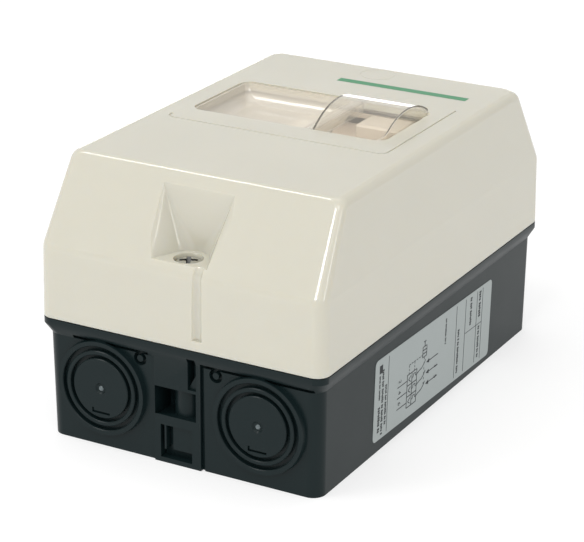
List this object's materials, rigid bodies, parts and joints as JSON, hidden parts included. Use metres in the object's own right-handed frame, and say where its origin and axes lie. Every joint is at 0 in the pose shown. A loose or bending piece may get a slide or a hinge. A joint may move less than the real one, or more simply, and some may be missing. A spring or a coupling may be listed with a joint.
{
  "type": "motor protection breaker",
  "caption": "Enclosed manual motor starter: insulated surface box with knock-outs and a clear flexible window over start and stop buttons, with a three-pole breaker inside.",
  "frame": {"origin": "centre of the enclosure's flat back face, which lies on the wall", "axes": "+X across the width, +Y along the length towards the line terminals, +Z out from the wall towards the cover and the buttons"},
  "size_m": [0.093, 0.147, 0.0895],
  "materials": {
    "enclosure_cream": "semi-gloss moulded plastic, fine grain",
    "enclosure_anthracite": "satin moulded plastic",
    "seal_rubber": "matt",
    "window_clear": "clear flexible film, glossy",
    "frame_beige": "satin",
    "zinc": "zinc plated",
    "housing_grey": "matt moulded plastic",
    "nose_beige": "satin moulded plastic",
    "button_ivory": "smooth moulded plastic",
    "mechanism_white": "natural moulded plastic",
    "copper": "bare copper",
    "steel": "plain"
  },
  "bodies": {
    "enclosure": {"base_box": "enclosure_anthracite", "cover_gasket": "seal_rubber", "earth_terminal_clamp": "zinc", "earth_terminal_screw": "zinc", "breaker_lower_housing": "housing_grey", "breaker_upper_housing": "housing_grey", "breaker_front_nose": "nose_beige", "start_button_spring": "steel", "fixed_contact_line_1": "copper", "fixed_contact_line_2": "copper", "fixed_contact_line_3": "copper", "fixed_contact_load_1": "copper", "fixed_contact_load_2": "copper", "fixed_contact_load_3": "copper", "load_terminal_bar_1": "copper", "load_terminal_bar_2": "copper", "load_terminal_bar_3": "copper", "magnetic_coil_1": "copper", "magnetic_coil_2": "copper", "magnetic_coil_3": "copper", "bimetal_1": "steel", "bimetal_2": "steel", "bimetal_3": "steel", "arc_chute_1": "steel", "arc_chute_2": "steel", "arc_chute_3": "steel", "terminal_clamp_line_1": "zinc", "terminal_clamp_line_2": "zinc", "terminal_clamp_line_3": "zinc", "terminal_clamp_load_1": "zinc", "terminal_clamp_load_2": "zinc", "terminal_clamp_load_3": "zinc", "terminal_screw_line_1": "zinc", "terminal_screw_line_2": "zinc", "terminal_screw_line_3": "zinc", "terminal_screw_load_1": "zinc", "terminal_screw_load_2": "zinc", "terminal_screw_load_3": "zinc"},
    "cover_body": {"cover": "enclosure_cream", "window_membrane": "window_clear", "window_retaining_frame": "frame_beige"},
    "ring_front_body": {"screw_retaining_ring_front": "mechanism_white"},
    "screw_front_body": {"cover_screw_front": "zinc"},
    "ring_rear_body": {"screw_retaining_ring_rear": "mechanism_white"},
    "screw_rear_body": {"cover_screw_rear": "zinc"},
    "start_button_body": {"start_button": "button_ivory"},
    "stop_button_body": {"stop_button": "button_ivory"},
    "rocker_body": {"button_rocker": "mechanism_white"},
    "carrier_body": {"contact_carrier": "mechanism_white", "moving_contact_1": "copper", "moving_contact_2": "copper", "moving_contact_3": "copper"},
    "dial_body": {"setting_dial": "mechanism_white"},
    "test_pin_body": {"trip_test_pin": "mechanism_white"},
    "trip_bar_body": {"trip_bar": "mechanism_white"},
    "latch_body": {"din_rail_latch": "mechanism_white"},
    "plunger_1_body": {"magnetic_plunger_1": "steel"},
    "plunger_2_body": {"magnetic_plunger_2": "steel"},
    "plunger_3_body": {"magnetic_plunger_3": "steel"}
  },
  "joints": [
    {"name": "cover_lift", "type": "slide", "parent": "enclosure", "child": "cover_body", "axis": [0, 0, 1], "range_m": [0, 0.07]},
    {"name": "screw_front_turn", "type": "hinge", "parent": "ring_front_body", "child": "screw_front_body", "pos_m": [0, -0.0664, 0.05], "axis": [0, 0, 1], "range_deg": [0, 5765]},
    {"name": "screw_front_rise", "type": "slide", "parent": "cover_body", "child": "ring_front_body", "axis": [0, 0, 1], "range_m": [0, 0.0112]},
    {"name": "screw_rear_turn", "type": "hinge", "parent": "ring_rear_body", "child": "screw_rear_body", "pos_m": [0, 0.0664, 0.05], "axis": [0, 0, 1], "range_deg": [0, 5765]},
    {"name": "screw_rear_rise", "type": "slide", "parent": "cover_body", "child": "ring_rear_body", "axis": [0, 0, 1], "range_m": [0, 0.0112]},
    {"name": "start_press", "type": "slide", "parent": "enclosure", "child": "start_button_body", "axis": [0, 0, -1], "range_m": [0, 0.003], "deforming": ["start_button_spring"]},
    {"name": "stop_rise", "type": "slide", "parent": "enclosure", "child": "stop_button_body", "axis": [0, 0, 1], "range_m": [0, 0.003]},
    {"name": "rocker_tilt", "type": "hinge", "parent": "enclosure", "child": "rocker_body", "pos_m": [0.009, 0.01, 0.043], "axis": [-1, 0, 0], "range_deg": [0, 21.7]},
    {"name": "carrier_close", "type": "slide", "parent": "enclosure", "child": "carrier_body", "axis": [0, 0, -1], "range_m": [0, 0.003]},
    {"name": "dial_turn", "type": "hinge", "parent": "enclosure", "child": "dial_body", "pos_m": [-0.0045, 0.014, 0.0756], "axis": [0, 0, 1], "range_deg": [-135, 135]},
    {"name": "test_pin_press", "type": "slide", "parent": "enclosure", "child": "test_pin_body", "axis": [0, 0, -1], "range_m": [0, 0.0014], "stiffness_N_per_m": 300},
    {"name": "trip_bar_turn", "type": "hinge", "parent": "enclosure", "child": "trip_bar_body", "pos_m": [0.009, -0.014, 0.0365], "axis": [1, 0, 0], "range_deg": [0, 20]},
    {"name": "rail_latch_pull", "type": "slide", "parent": "enclosure", "child": "latch_body", "axis": [0, -1, 0], "range_m": [0, 0.003], "stiffness_N_per_m": 1500},
    {"name": "plunger_1_rise", "type": "slide", "parent": "enclosure", "child": "plunger_1_body", "axis": [0, 0, 1], "range_m": [0, 0.0025], "stiffness_N_per_m": 80},
    {"name": "plunger_2_rise", "type": "slide", "parent": "enclosure", "child": "plunger_2_body", "axis": [0, 0, 1], "range_m": [0, 0.0025], "stiffness_N_per_m": 80},
    {"name": "plunger_3_rise", "type": "slide", "parent": "enclosure", "child": "plunger_3_body", "axis": [0, 0, 1], "range_m": [0, 0.0025], "stiffness_N_per_m": 80}
  ],
  "couplings": [
    {"joint": "screw_front_turn", "follows": "screw_front_rise", "rad_per_m": 8976},
    {"joint": "screw_rear_turn", "follows": "screw_rear_rise", "rad_per_m": 8976},
    {"joint": "stop_rise", "follows": "start_press", "ratio": 1},
    {"joint": "rocker_tilt", "follows": "start_press", "rad_per_m": 125.66},
    {"joint": "carrier_close", "follows": "start_press", "ratio": 1},
    {"joint": "trip_bar_turn", "follows": "test_pin_press", "rad_per_m": 249}
  ]
}
